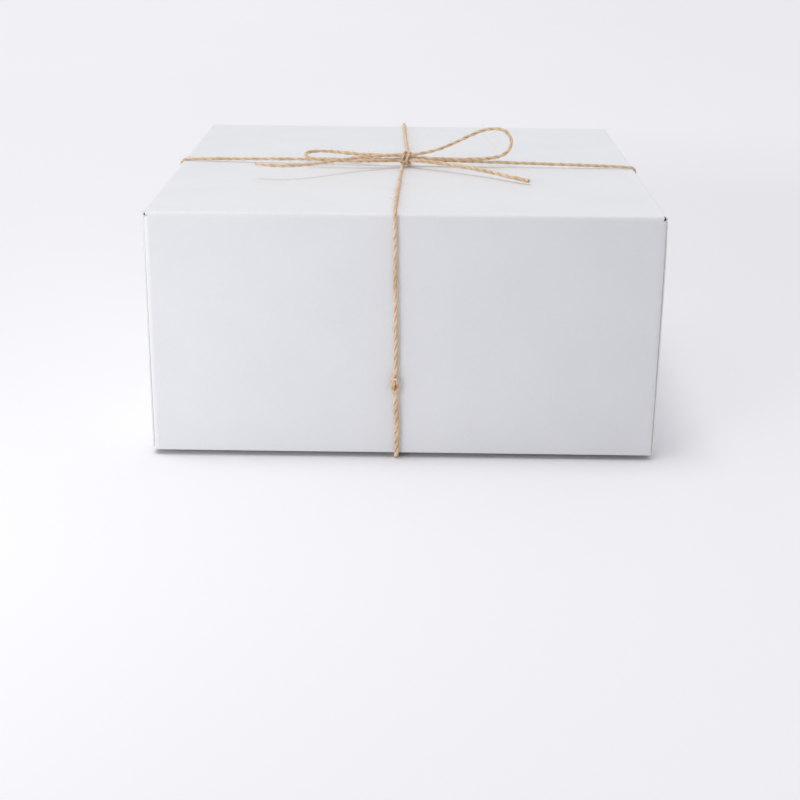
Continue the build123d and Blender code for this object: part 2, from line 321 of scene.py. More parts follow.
def cut_sheet(outline, lines):
    """A flat bmesh of the outline, cut along each line given as (point, normal)."""
    sheet = bmesh.new()
    sheet.faces.new([sheet.verts.new((x, y, 0)) for x, y in outline])
    for point, normal in lines:
        parts = sheet.verts[:] + sheet.edges[:] + sheet.faces[:]
        bmesh.ops.bisect_plane(sheet, geom=parts, dist=1e-7, plane_co=(*point, 0), plane_no=(*normal, 0))
    return sheet


def grid_lines(low, high, spacing=GRID):
    """Lines that cut the span between two corners into a grid."""
    lines = []
    for axis in range(2):
        count = max(1, round((high[axis] - low[axis]) / spacing))
        for k in range(1, count):
            point = [0, 0]
            point[axis] = low[axis] + (high[axis] - low[axis]) * k / count
            lines.append((point, (1, 0) if axis == 0 else (0, 1)))
    return lines


def thicken(sheet, name, place, wear_and_highlight, keep=None, seams=()):
    """Turn a flat sheet into a board with thickness.

    place(u, v) gives the outer face's point and normal, and the function after it how pale the face is made
    at (u, v), partly worn coating and partly a painted highlight at the folds;
    keep(centre) says which faces belong to this piece; seams are tests of a boundary
    edge's middle that say it is joined to a neighbour there and so keeps its square edge.
    """
    board = sheet.copy()
    if keep:
        dropped = [f for f in board.faces if not keep(f.calc_center_median())]
        bmesh.ops.delete(board, geom=dropped, context="FACES")
    fold = board.verts.layers.float.new("fold")
    free = board.edges.layers.float.new("bevel_weight_edge")
    outer = board.verts[:]
    flat = {v: v.co.copy() for v in outer}
    inner = {}
    for v in outer:
        point, normal = place(v.co.x, v.co.y)
        v[fold] = wear_and_highlight(v.co.x, v.co.y)
        inner[v] = board.verts.new(point - normal * BOARD)
        inner[v][fold] = 0.0
        v.co = point
    for face in board.faces[:]:
        face.material_index = FACE
        face.smooth = True
        back = board.faces.new([inner[v] for v in reversed(face.verts)])
        back.material_index = BACK
        back.smooth = True
    for edge in [e for e in board.edges if len(e.link_faces) == 1 and e.verts[0] in inner]:
        a, b = edge.link_loops[0].vert, edge.link_loops[0].link_loop_next.vert
        side = board.faces.new([b, a, inner[a], inner[b]])
        side.material_index = CUT
        middle = (flat[a] + flat[b]) / 2
        joined = any(test(middle) for test in seams)
        far = board.edges.get((inner[a], inner[b]))
        for rim in (edge, far):
            rim.smooth = False
            rim[free] = 0.0 if joined else 1.0
    mesh = bpy.data.meshes.new(name)
    bmesh.ops.recalc_face_normals(board, faces=board.faces[:])
    board.to_mesh(mesh)
    board.free()
    piece = new_object(name, mesh, BOARD_LOOKS)
    bevel = piece.modifiers.new("soft_cut_edges", "BEVEL")
    bevel.limit_method = "WEIGHT"
    bevel.width = EDGE_ROUND
    bevel.segments = 2
    bevel.harden_normals = True
    return piece


def crease_dip(off):
    """Depth of a 45-degree crease, 1 at its middle, where u + v is so far off it."""
    t = abs(off) / sqrt(2) / CREASE_WIDTH
    return (1 - t * t) ** 2 if t < 1 else 0.0


class Tray:
    """One folded tray, named like its body: its box, which way its closed face looks, and its waviness."""

    def __init__(self, name, low, high, closed_up, seed, flap_start, notched):
        self.name = name
        self.flap_start = flap_start
        self.notched = notched
        self.seed = seed
        self.length = high.x - low.x
        self.width = high.y - low.y
        self.depth = high.z - low.z
        self.closed = high.z if closed_up else low.z
        self.down = Vector((0, 0, -1 if closed_up else 1))  # from the closed face to the rim
        self.wall_end = self.length / 2 - BOARD - GLUE

    def reach(self, side):
        return (self.width if side in ("front", "back") else self.length) / 2

    def half_run(self, side):
        return (self.length if side in ("front", "back") else self.width) / 2

    def axes(self, side):
        """Directions along a wall and out of it. +u is +X on the long walls and +Y on the ends."""
        out = {"front": Vector((0, -1, 0)), "back": Vector((0, 1, 0)),
               "left": Vector((-1, 0, 0)), "right": Vector((1, 0, 0))}[side]
        run = Vector((1, 0, 0)) if side in ("front", "back") else Vector((0, 1, 0))
        return run, out

    def sway(self, side, u, v):
        """How far a wall stands out at a place: stiff at its fold, slack towards its rim."""
        slack = min(1.0, max(0.0, (v - FOLD) / (0.45 * self.depth)))
        slack = slack * slack * (3 - 2 * slack)
        wave = noise.noise(Vector((u * 13, v * 11, self.seed + len(side) * 3.7)))
        bend = BOW_IN * cos(pi * u / (2 * self.half_run(side))) * sin(pi * min(1, v / self.depth))
        out = slack * WAVE * (wave - 0.45) - bend
        if side in ("left", "right"):
            out += self.flare(side, u, v) - CREASE_DEPTH * crease_dip(abs(u) + v - self.half_run(side))
        return out

    def flare(self, side, u, v):
        """How far an end wall of the lid springs out of square there: most at its corners, where
        no twine holds it in."""
        if not self.notched:
            return 0.0
        return FLARE[side] * (u / self.half_run(side)) ** 2 * (1 - exp(-max(0.0, v - FOLD) / FLARE_RUN))

    def wall_point(self, side, u, s):
        """Point and normal of a wall's outer face; s is the run of board from the closed face."""
        run, out = self.axes(side)
        edge = run * u + out * self.reach(side)
        edge.z = self.closed
        if s < FOLD_RUN:
            turn = s / FOLD
            normal = -self.down * cos(turn) + out * sin(turn)
            centre = edge - out * FOLD + self.down * FOLD
            return centre + normal * FOLD, normal
        v = FOLD + s - FOLD_RUN
        h = 0.3 * MM

        def surface(a, b):
            return edge + run * (a - u) + self.down * b + out * self.sway(side, a, b)

        du = surface(u + h, v) - surface(u - h, v)
        dv = surface(u, v + h) - surface(u, v - h)
        normal = du.cross(dv).normalized()
        if normal.dot(out) < 0:
            normal = -normal
        return surface(u, v), normal


LID = Tray("lid", LID_LOW, LID_HIGH, True, 3.1, LID_FLAP_START, True)
BASE = Tray("base", BASE_LOW, BASE_HIGH, False, 8.6, BASE_FLAP_START, False)


def closed_panel(tray, name):
    """The square between the four folds, with a nick at each corner where three creases meet."""
    half_x, half_y = tray.length / 2 - FOLD, tray.width / 2 - FOLD
    outline = []
    for k, (sx, sy) in enumerate(((1, 1), (-1, 1), (-1, -1), (1, -1))):
        outline += arc((sx * half_x, sy * half_y), RELIEF, 270 + 90 * k, 180 + 90 * k, 5)
    sheet = cut_sheet(outline, grid_lines((-half_x, -half_y), (half_x, half_y), PANEL_GRID))
    up = -tray.down

    def place(x, y):
        free = cos(pi * x / (2 * half_x)) * cos(pi * y / (2 * half_y))
        wave = noise.noise(Vector((x * 17, y * 17, tray.seed)))
        return Vector((x, y, tray.closed)) + up * free * (SAG_WAVE * wave - SAG), up.copy()

    # paler towards the folds: worn coating and a painted highlight
    def wear_and_highlight(x, y):
        edge = min(half_x - abs(x), half_y - abs(y))
        return max(0.0, 1 - edge / (0.5 * MM)) * 0.5

    on_fold = [lambda p: abs(abs(p.x) - half_x) < 1e-6 or abs(abs(p.y) - half_y) < 1e-6]
    piece = thicken(sheet, name.replace("panel", "board"), place, wear_and_highlight, seams=on_fold)
    stands_for(piece, tray.name, "white_board", name)


def fold_wear_and_highlight(_, s):
    """Paleness of the face: 1 on the outside of a fold, fading into the wall, partly worn coating and partly
    a painted highlight; s is the run of board from the closed face.
    """
    return max(0.0, min(1.0, s / (0.5 * FOLD_RUN), (1.6 * FOLD_RUN - s) / (0.6 * FOLD_RUN)))


def fold_lines():
    """Cuts that make a fold round, and a few close ones below it."""
    steps = [FOLD_RUN * k / 6 for k in range(1, 7)] + [FOLD_RUN + 1.0 * MM]
    return [((0, s), (0, 1)) for s in steps]


def corner_radius(tray, side, v):
    """Outer radius of the fold between a long wall and its flap: it closes up towards the rim."""
    share = min(1.0, max(0.0, v / tray.depth))
    return CORNER_FOLD[side][0] + (CORNER_FOLD[side][1] - CORNER_FOLD[side][0]) * share


def long_wall(tray, side):
    """A plain wall with its fold. Its flaps carry on round the corners."""
    rim = tray.depth - FOLD + FOLD_RUN
    flap_top = FOLD_RUN - FOLD + tray.flap_start
    outline = []
    for end, sign in (("right", 1), ("left", -1)):
        corner = tray.length / 2 - CORNER_GAP[end]
        top = tray.wall_end - corner_radius(tray, end, 0)
        bottom = tray.wall_end - corner_radius(tray, end, tray.depth)
        run = [(sign * corner, 0), (sign * corner, FOLD_RUN), (sign * top, flap_top), (sign * bottom, rim)]
        outline += run[::sign]
    # top and bottom are now the left end's, whose fold is the wider one
    sheet = cut_sheet(outline, fold_lines() + grid_lines((-bottom, FOLD_RUN), (bottom, rim)))
    seams = [lambda p: p.y < 1e-6, lambda p: abs(p.x) > top - 1e-6 and flap_top < p.y < rim - 1e-6]
    piece = thicken(sheet, f"{tray.name}_{side}_board", lambda u, s: tray.wall_point(side, u, s), fold_wear_and_highlight,
                    seams=seams)
    stands_for(piece, tray.name, "white_board", f"{tray.name}_{side}_wall")


def end_outline(tray, side):
    """Outline of a whole end wall on the flat: its fold, its free corners and the notch."""
    half = tray.width / 2
    rim = tray.depth - FOLD + FOLD_RUN
    top, bottom = CORNER_FOLD[side]
    back = half - SETBACK[side]
    right = [(back, 0), (back, FOLD_RUN), (half - top, FOLD_RUN + CORNER_RUN)]
    right += arc((half - bottom - RIM_CORNER, rim - RIM_CORNER), RIM_CORNER, 0, 90, 5)
    if tray.notched:
        reach = NOTCH + NOTCH_SHOULDER
        shoulder = (sqrt(reach**2 - NOTCH_SHOULDER**2), rim - NOTCH_SHOULDER)
        lean = asin(NOTCH_SHOULDER / reach)
        right += arc(shoulder, NOTCH_SHOULDER, 90, 180 - lean * 180 / pi, 5)
        right += arc((0, rim), NOTCH, -lean * 180 / pi, -90, 16)[1:]
    left = [(-u, s) for u, s in reversed(right)]
    return right + (left[1:] if tray.notched else left)


def end_wall(tray, side):
    """An end wall in three pieces, parted by its two 45-degree creases."""
    half = tray.width / 2
    outline = end_outline(tray, side)
    rim = tray.depth - FOLD + FOLD_RUN
    creases = []
    slope = 1 / sqrt(2)
    for sign in (-1, 1):
        for off in (0, -1, -0.5, 0.5, 1):
            foot = half + FOLD_RUN - FOLD + off * CREASE_WIDTH * sqrt(2)
            creases.append(((sign * foot, 0), (sign * slope, slope)))
    sheet = cut_sheet(outline, fold_lines() + grid_lines((-half, FOLD_RUN), (half, rim)) + creases)

    def off_crease(point):
        """How far past the crease, towards the corner, a place on the flat is."""
        return abs(point.x) + (point.y - FOLD_RUN + FOLD) - half

    def on_crease(point):
        return abs(off_crease(point)) < 1e-5

    parts = [(f"{side}_end", f"{side}_end_panel", lambda c: off_crease(c) < 0 or c.y < FOLD_RUN)]
    for towards, sign in (("front", -1), ("back", 1)):
        parts.append((f"{side}_{towards}_corner", f"{side}_{towards}_gusset",
                      lambda c, sign=sign: off_crease(c) > 0 and c.y > FOLD_RUN and c.x * sign > 0))
    for look, node, keep in parts:
        piece = thicken(sheet, f"{tray.name}_{look}_board", lambda u, s: tray.wall_point(side, u, s),
                        fold_wear_and_highlight, keep, seams=[lambda p: p.y < 1e-6, on_crease])
        stands_for(piece, tray.name, "white_board", f"{tray.name}_{node}")


def glue_flap(tray, side, towards):
    """The flap that turns round the end of a long wall and lies behind the end wall."""
    run, out = tray.axes(towards)
    sign = 1 if side == "right" else -1
    turn_run = sum(CORNER_FOLD[side]) / 2 * pi / 2
    top, width, rim = tray.flap_start, FLAP_WIDTH, tray.depth
    outline = [(0, top), (turn_run, top), (width, top + width - turn_run), (width, rim - FLAP_TAPER),
               (turn_run + 1.5 * MM, rim - 0.6 * MM), (turn_run, rim), (0, rim)]
    lines = [((turn_run * k / 6, 0), (1, 0)) for k in range(1, 7)]
    lines += grid_lines((turn_run, 0), (width, rim), FLAP_GRID)
    sheet = cut_sheet(outline, lines)

    def surface(t, v):
        """Outer face at a run t round the corner, following the two walls that it joins."""
        radius = corner_radius(tray, side, v)
        turn = min(1.0, t / turn_run) * pi / 2
        past = max(0.0, t - turn_run)
        back = radius * (1 - cos(turn)) + past
        u = out.y * (tray.half_run(side) - back)
        gape = GAPE * max(0.0, 1 - past / FLAP_FREE) ** 2 * tray.flare(side, u, v)
        bend = tray.wall_end - radius
        along = bend + (radius + tray.sway(side, u, v) - gape) * sin(turn)
        across = tray.reach(towards) + tray.sway(towards, sign * bend, v) * cos(turn) - back
        point = run * (sign * along) + out * across
        point.z = tray.closed
        return point + tray.down * v

    def place(t, v):
        h = 0.05 * MM
        dt = surface(t + h, v) - surface(max(0, t - h), v)
        dv = surface(t, v + h) - surface(t, v - h)
        normal = dt.cross(dv).normalized()
        facing = run * sign if t > turn_run / 2 else out
        return surface(t, v), normal if normal.dot(facing) > 0 else -normal

    # paler round the corner's fold: worn coating and a painted highlight
    def wear_and_highlight(t, _):
        return max(0.0, 1 - abs(t - turn_run / 2) / turn_run) * 0.6

    piece = thicken(sheet, f"{tray.name}_{towards}_{side}_tab", place, wear_and_highlight, seams=[lambda p: p.x < 1e-6])
    stands_for(piece, tray.name, "white_board", f"{tray.name}_{towards}_{side}_flap")


def build_tray(tray, panel):
    closed_panel(tray, panel)
    for side in ("front", "back"):
        long_wall(tray, side)
    for side in ("left", "right"):
        end_wall(tray, side)
        for towards in ("front", "back"):
            glue_flap(tray, side, towards)


# ------------------------------ twine
def smooth_line(points):
    """Evenly spaced points on the NURBS spline that has the route's points as its controls."""
    data = bpy.data.curves.new("route", "CURVE")
    data.dimensions = "3D"
    data.resolution_u = 32
    spline = data.splines.new("NURBS")
    spline.points.add(len(points) - 1)
    for control, point in zip(spline.points, points):
        control.co = (*point, 1)
    spline.order_u = 3
    spline.use_endpoint_u = True
    holder = bpy.data.objects.new("route", data)
    mesh = bpy.data.meshes.new_from_object(holder)
    line = np.array([v.co for v in mesh.vertices], float)
    bpy.data.objects.remove(holder)
    bpy.data.curves.remove(data)
    bpy.data.meshes.remove(mesh)
    run = np.concatenate([[0], np.cumsum(np.linalg.norm(np.diff(line, axis=0), axis=1))])
    even = np.linspace(0, run[-1], max(8, round(run[-1] / STEP)) + 1)
    return np.stack([np.interp(even, run, line[:, k]) for k in range(3)], 1)


def frames(line):
    """Tangent and two normals at each point, carried along without twist."""
    tangent = np.gradient(line, axis=0)
    tangent /= np.linalg.norm(tangent, axis=1)[:, None]
    start = np.cross(tangent[0], (0, 0, 1) if abs(tangent[0][2]) < 0.9 else (1, 0, 0))
    normals = [start / np.linalg.norm(start)]
    for t in tangent[1:]:
        n = normals[-1] - t * normals[-1].dot(t)
        normals.append(n / np.linalg.norm(n))
    normal = np.array(normals)
    return tangent, normal, np.cross(tangent, normal)


def drift(draw, count, every):
    """Smooth random values from -1 to 1, one for each ring, that change over so many rings."""
    knots = draw.uniform(-1, 1, count // every + 4)
    at = np.arange(count) / every
    k = at.astype(int)
    t = at - k
    t = t * t * (3 - 2 * t)
    return knots[k] * (1 - t) + knots[k + 1] * t


class Twine:
    """The skin of two plies laid round each other, to the right, along a line.

    scale is how fat the twine is there: one number, or pairs of (share of the line, scale).
    """

    def __init__(self, line, seed, scale, bare_end=False):
        self.line = line
        pairs = ((0, scale), (1, scale)) if isinstance(scale, float) else scale
        self.scale = np.interp(np.linspace(0, 1, len(line)), *zip(*pairs))
        self.seed = seed
        self.count = len(line)
        draw = np.random.RandomState(seed)
        self.frame = frames(line)
        turn = np.arange(self.count) * STEP / LAY * 2 * pi + draw.uniform(0, 2 * pi)
        turn = turn + 0.5 * drift(draw, self.count, 22)
        self.plies = [self.ply(turn + k * pi, draw, bare_end) for k in range(2)]

    def ply(self, turn, draw, bare_end):
        """Rings of points round one ply, how much painted shade each point gets where it faces the other ply,
        and the fibres' twist.
        """
        tangent, normal, side = self.frame
        away = normal * np.cos(turn)[:, None] + side * np.sin(turn)[:, None]
        across = np.cross(tangent, away)
        off = PLY_OFF * (1 + 0.18 * drift(draw, self.count, 9))
        fat = 1 + 0.15 * drift(draw, self.count, 8) + 0.07 * drift(draw, self.count, 3)
        if bare_end:  # the plies spread at the last three rings
            off[-3:] *= (1.06, 1.14, 1.22)
            fat[-1] *= 0.90
        off = off * self.scale
        fat = fat * self.scale
        middle = self.line + away * off[:, None]
        phi = np.linspace(0, 2 * pi, SECTION, endpoint=False)[None, :]
        twist = -np.arange(self.count) * STEP / FIBRE_LAY * 2 * pi
        ridge = 0.06 * np.sin(5 * (phi + twist[:, None])) + 0.05 * np.sin(3 * (phi + twist[:, None]) + 1)
        size = fat[:, None] * (1 + ridge + draw.normal(0, 0.03, ridge.shape))
        rings = (middle[:, None, :]
                 + away[:, None, :] * (np.cos(phi) * size * PLY_THICK)[..., None]
                 + across[:, None, :] * (np.sin(phi) * size * PLY_WIDE)[..., None])
        rings[..., 2] = np.maximum(rings[..., 2], TABLE_GAP)
        # painted shade on the side of the ply that faces the other ply
        hollow = np.clip(-np.cos(phi) * np.ones((self.count, 1)), 0, 1) ** 1.5
        return rings, hollow, twist


def twine_mesh(name, parts, deep=None):
    """One mesh from stretches of twine, each (Twine, first ring, last ring), closed at both ends.

    deep gives the middle and the radius of a knot, inside which the twine is in the shade.
    """
    points, faces, painted_twine_shades, uvs = [], [], [], []
    wide = 1 / SECTION
    for twine, first, last in parts:
        for k, (rings, hollow, twist) in enumerate(twine.plies):
            base = len(points)
            points += rings[first:last + 1].reshape(-1, 3).tolist()
            shade = hollow[first:last + 1].reshape(-1)
            if deep:
                off = np.linalg.norm(rings[first:last + 1].reshape(-1, 3) - np.array(deep[0]), axis=1)
                # painted shade, deepest at the middle of a knot
                shade = np.clip(shade + 2.2 * (1 - off / deep[1]), 0, 1.25)
            painted_twine_shades += shade.tolist()
            shift = 0.37 * k + 0.013 * twine.seed
            for i in range(first, last):
                a = base + (i - first) * SECTION
                b = a + SECTION
                run, more = i * STEP / UV_RUN + shift, (i + 1) * STEP / UV_RUN + shift
                for j in range(SECTION):
                    n = (j + 1) % SECTION
                    faces.append((a + j, a + n, b + n, b + j))
                    here, ahead = j * wide + twist[i] / (2 * pi), j * wide + twist[i + 1] / (2 * pi)
                    uvs += [(here, run), (here + wide, run), (ahead + wide, more), (ahead, more)]
            start, stop = base, base + (last - first) * SECTION
            faces.append(tuple(range(start + SECTION - 1, start - 1, -1)))
            faces.append(tuple(range(stop, stop + SECTION)))
            uvs += [(0.1 * cos(2 * pi * j * wide), 0.1 * sin(2 * pi * j * wide)) for j in range(SECTION)] * 2
    mesh = bpy.data.meshes.new(name)
    mesh.from_pydata(points, [], faces)
    layer = mesh.uv_layers.new(name="UVMap")
    layer.data.foreach_set("uv", np.array(uvs, np.float32).ravel())
    shade = mesh.attributes.new("hollow", "FLOAT", "POINT")
    shade.data.foreach_set("value", np.array(painted_twine_shades, np.float32))
    mesh.shade_smooth()
    return new_object(name, mesh, [JUTE])


def clear_of_box(at):
    """Move a fibre's point out of the box by the shortest way, and off the table.

    In the lid's notches the base's walls are the nearest. A point deeper in than the twine
    could bring it belongs to a strand under the base.
    """
    inside = NOTCH - 2 * MM
    in_notch = abs(at[1]) < inside and at[2] < LID_LOW.z + inside
    low, high = (BASE_LOW, BASE_HIGH) if in_notch else (LID_LOW, LID_HIGH)
    over = [high.x + FIBRE_GAP - abs(at[0]), high.y + FIBRE_GAP - abs(at[1]), high.z + FIBRE_GAP - at[2]]
    k = over.index(min(over))
    if over[k] > 3 * MM:
        at[2] = min(at[2], BASE_LOW.z - FIBRE_GAP)
    elif over[k] > 0 and at[2] > low.z:
        at[k] += over[k] * (1 if k == 2 or at[k] > 0 else -1)
    at[2] = max(at[2], FIBRE_GAP)


def hair(draw, at, heading, long, curl, steps):
    """Spine of one loose fibre that sets off one way and curls as it goes."""
    spine = []
    heading = heading / np.linalg.norm(heading)
    for _ in range(steps + 1):
        clear_of_box(at)
        spine.append(at.copy())
        heading = heading + np.cross(curl, heading) * 1.6 / steps + draw.normal(0, 0.09, 3)
        heading /= np.linalg.norm(heading)
        at = at + heading * long / steps
    return np.array(spine)


def fuzz(draw, twine, first, last, nap, loose):
    """Spines of the fibres along a stretch: a nap of short ones, and loose long ones."""
    tangent, normal, side = twine.frame
    spines = []
    run = (last - first) * STEP / MM
    for k in range(int(run * (nap + loose))):
        i = draw.randint(first + 1, last)
        angle = draw.uniform(0, 2 * pi)
        out = normal[i] * cos(angle) + side[i] * sin(angle)
        around = np.cross(tangent[i], out)
        start = twine.line[i] + out * ROOT
        along = tangent[i] * draw.choice((-1, 1))
        if k < run * nap:
            heading = along + out * draw.uniform(0.15, 0.75) + around * draw.uniform(-0.5, 0.9)
            long, curl = draw.uniform(0.7, 2.3) * MM, -0.5 * np.cross(along, out)
            spines.append(hair(draw, start, heading, long, curl, SHORT_STEPS))
        else:
            heading = along * draw.uniform(0.2, 1.1) + out * draw.uniform(0.3, 1.0)
            long = (1.6 + 6.0 * draw.beta(1.1, 2.8)) * MM
            spines.append(hair(draw, start, heading, long, draw.normal(0, 0.75, 3), LONG_STEPS))
    return spines


def brush(draw, twine):
    """Spines of the short fibres that stand out of the cut far end."""
    tangent, normal, side = (f[-1] for f in twine.frame)
    spines = []
    for _ in range(BRUSH_COUNT):
        angle, off = draw.uniform(0, 2 * pi), sqrt(draw.uniform(0, 1)) * BRUSH_RADIUS
        out = normal * cos(angle) + side * sin(angle)
        heading = tangent + out * off / MM * draw.uniform(0.1, 0.55)
        start = twine.line[-1] + out * off - tangent * 0.3 * MM
        long = draw.uniform(0.6, 1.7) * MM
        spines.append(hair(draw, start, heading, long, draw.normal(0, 0.3, 3), SHORT_STEPS))
    return spines


def hair_mesh(name, body, spines, seed):
    """Three-sided hairs that taper to a point, each closed at its root."""
    draw = np.random.RandomState(seed)
    points, faces = [], []
    for spine in spines:
        _, normal, side = frames(spine)
        thick = draw.uniform(THINNEST, THICKEST) * (LONG_FATTER if len(spine) > LONG_STEPS else 1.0)
        base = len(points)
        last = len(spine) - 1
        for k in range(last):
            radius = thick * (1 - 0.75 * k / last)
            for a in (0, 2 * pi / 3, 4 * pi / 3):
                points.append((spine[k] + (normal[k] * cos(a) + side[k] * sin(a)) * radius).tolist())
        points.append(spine[-1].tolist())
        tip = base + 3 * last
        faces.append((base + 2, base + 1, base))
        for j in range(3):
            n = (j + 1) % 3
            faces += [(base + 3 * k + j, base + 3 * k + n, base + 3 * k + 3 + n, base + 3 * k + 3 + j)
                      for k in range(last - 1)]
            faces.append((tip - 3 + j, tip - 3 + n, tip))
    mesh = bpy.data.meshes.new(name)
    mesh.from_pydata(points, [], faces)
    mesh.shade_smooth()
    piece = new_object(name, mesh, [HAIR])
    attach(piece, body)
    return piece


def over_lid(*points):
    """Route points in millimetres, with heights over the lid's top, to metres in the frame."""
    return [Vector((x * MM, y * MM, ON_LID + h * MM)) for x, y, h in points]


def in_frame(*points):
    """Route points in millimetres to metres."""
    return [Vector(p) * MM for p in points]


def tied_run(points, seed, parting_height, scale, pieces):
    """One unbroken length of twine from the bow round the box and back to the bow.

    It is parted at a height, where the strands over the lid meet the strand under the
    base. pieces gives (name, body, CAD node) for the three stretches in order.
    """
    twine = Twine(smooth_line(points), seed, scale)
    low = np.nonzero(twine.line[:, 2] < parting_height)[0]
    stops = [0, int(low[0]), int(low[-1]), twine.count - 1]
    draw = np.random.RandomState(seed + 100)
    for (name, body, node), first, last in zip(pieces, stops, stops[1:]):
        piece = twine_mesh(name, [(twine, first, last)])
        stands_for(piece, body, "jute", node)
        hair_mesh(f"{name}_fibres", body, fuzz(draw, twine, first, last, *TAUT_FUZZ), seed)


def free_cord(name, node, points, seed, scale, far_end, strays=()):
    """A loop or a tail of the bow. strays are routes of long fibres that have worked loose."""
    line = smooth_line(points)
    twine = Twine(line, seed, scale, far_end == "bare")
    piece = twine_mesh(name, [(twine, 0, twine.count - 1)])
    stands_for(piece, "twine_wrap", "jute", node)
    draw = np.random.RandomState(seed + 100)
    spines = fuzz(draw, twine, 0, twine.count - 1, *BOW_FUZZ)
    if far_end == "bare":
        spines += brush(draw, twine)
    spines += [smooth_line(route) for route in strays]
    fibres = hair_mesh(f"{name}_fibres", "twine_wrap", spines, seed)
    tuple(points[0])


def wrap():
    """The two runs of twine round the box, crossing under the base."""
    tied_run(
        in_frame(
            (-2.0, -8.0, 102.55), (-2.8, -40, 102.55), (-3.3, -66, 102.55), (-3.75, -90, 102.55),
            (-3.8, -97.5, 102.55), (-3.75, -100.95, 102.55), (-3.7, -100.95, 98.6), (-3.6, -100.95, 90),
            (-3.6, -100.95, 78), (-3.3, -100.95, 65), (-3.0, -100.95, 52), (-2.95, -100.95, 42),
            (-3.05, -101.15, 32), (-2.9, -101.25, 24), (-2.45, -101.25, 15), (-2.5, -101.2, 6),
            (-2.5, -100.95, 0.8), (-2.5, -97.5, 0.8), (-2.5, -70, 0.8), (-2.3, 0, 0.8), (-2.1, 70, 0.8),
            (-2.0, 97.5, 0.8), (-2.0, 100.95, 0.8), (-2.0, 100.95, 6), (-2.1, 100.95, 30),
            (-2.2, 100.95, 70), (-2.3, 100.95, 98.6), (-2.3, 100.95, 102.55), (-2.1, 97.5, 102.55),
            (-1.8, 85, 102.55), (-0.9, 55, 102.55), (0.3, 25, 102.55), (1.3, -3.4, 102.55),
        ),
        11, PARTING_ALONG,
        ((0, 0.95), (0.15, 0.97), (0.18, 1.15), (0.26, 1.2), (0.285, 1.42), (0.318, 1.42), (0.34, 1.0),
         (0.8, 1.0), (1, 0.9)),
        [("front_strand", "twine_wrap", "twine_front"), ("under_strand_along", "base", "twine_under_along"),
         ("back_strand", "twine_wrap", "twine_back")],
    )
    tied_run(
        in_frame(
            (-3.5, -3.9, 104.3), (-30, -2.2, 103.82), (-60, -0.1, 103.28), (-85, 1.4, 102.8),
            (-98.6, 2.3, 102.52), (-101.85, 2.6, 101.85), (-102.45, 2.5, 98.6), (-102.55, 1.9, 75),
            (-102.55, 1.0, 45), (-102.55, 0.2, 20), (-102.55, 0, 10.8), (-99.6, 0, 7.2), (-99.6, 0, 2.3),
            (-94, 0, 2.3), (-84, -0.2, 1.5), (-74, -0.6, 0.8), (-45, -2.0, 0.8), (-16, -3.5, 0.8),
            (-5, -4.1, 2.65), (5, -4.5, 2.65), (16, -4.7, 0.8), (45, -3.8, 0.8), (74, -2.9, 0.8),
            (84, -2.4, 1.5), (94, -2.0, 2.3), (99.6, -2.0, 2.3), (99.6, -2.0, 7.2), (102.55, -2.0, 10.8),
            (102.55, -2.2, 20), (102.55, -3.6, 45), (102.55, -5.0, 75), (102.45, -6.1, 98.6),
            (101.85, -6.1, 101.85), (98.6, -6.0, 102.52), (80, -5.5, 102.9), (52, -4.7, 103.4),
            (26, -3.9, 103.87), (1.6, -3.2, 104.3),
        ),
        12, PARTING_ACROSS,
        ((0, 0.95), (0.14, 0.93), (0.163, 0.8), (0.186, 0.93), (0.814, 0.93), (0.837, 0.8), (0.86, 0.93),
         (1, 0.95)),
        [("left_strand", "twine_wrap", "twine_left"), ("under_strand_across", "base", "twine_under_across"),
         ("right_strand", "twine_wrap", "twine_right")],
    )


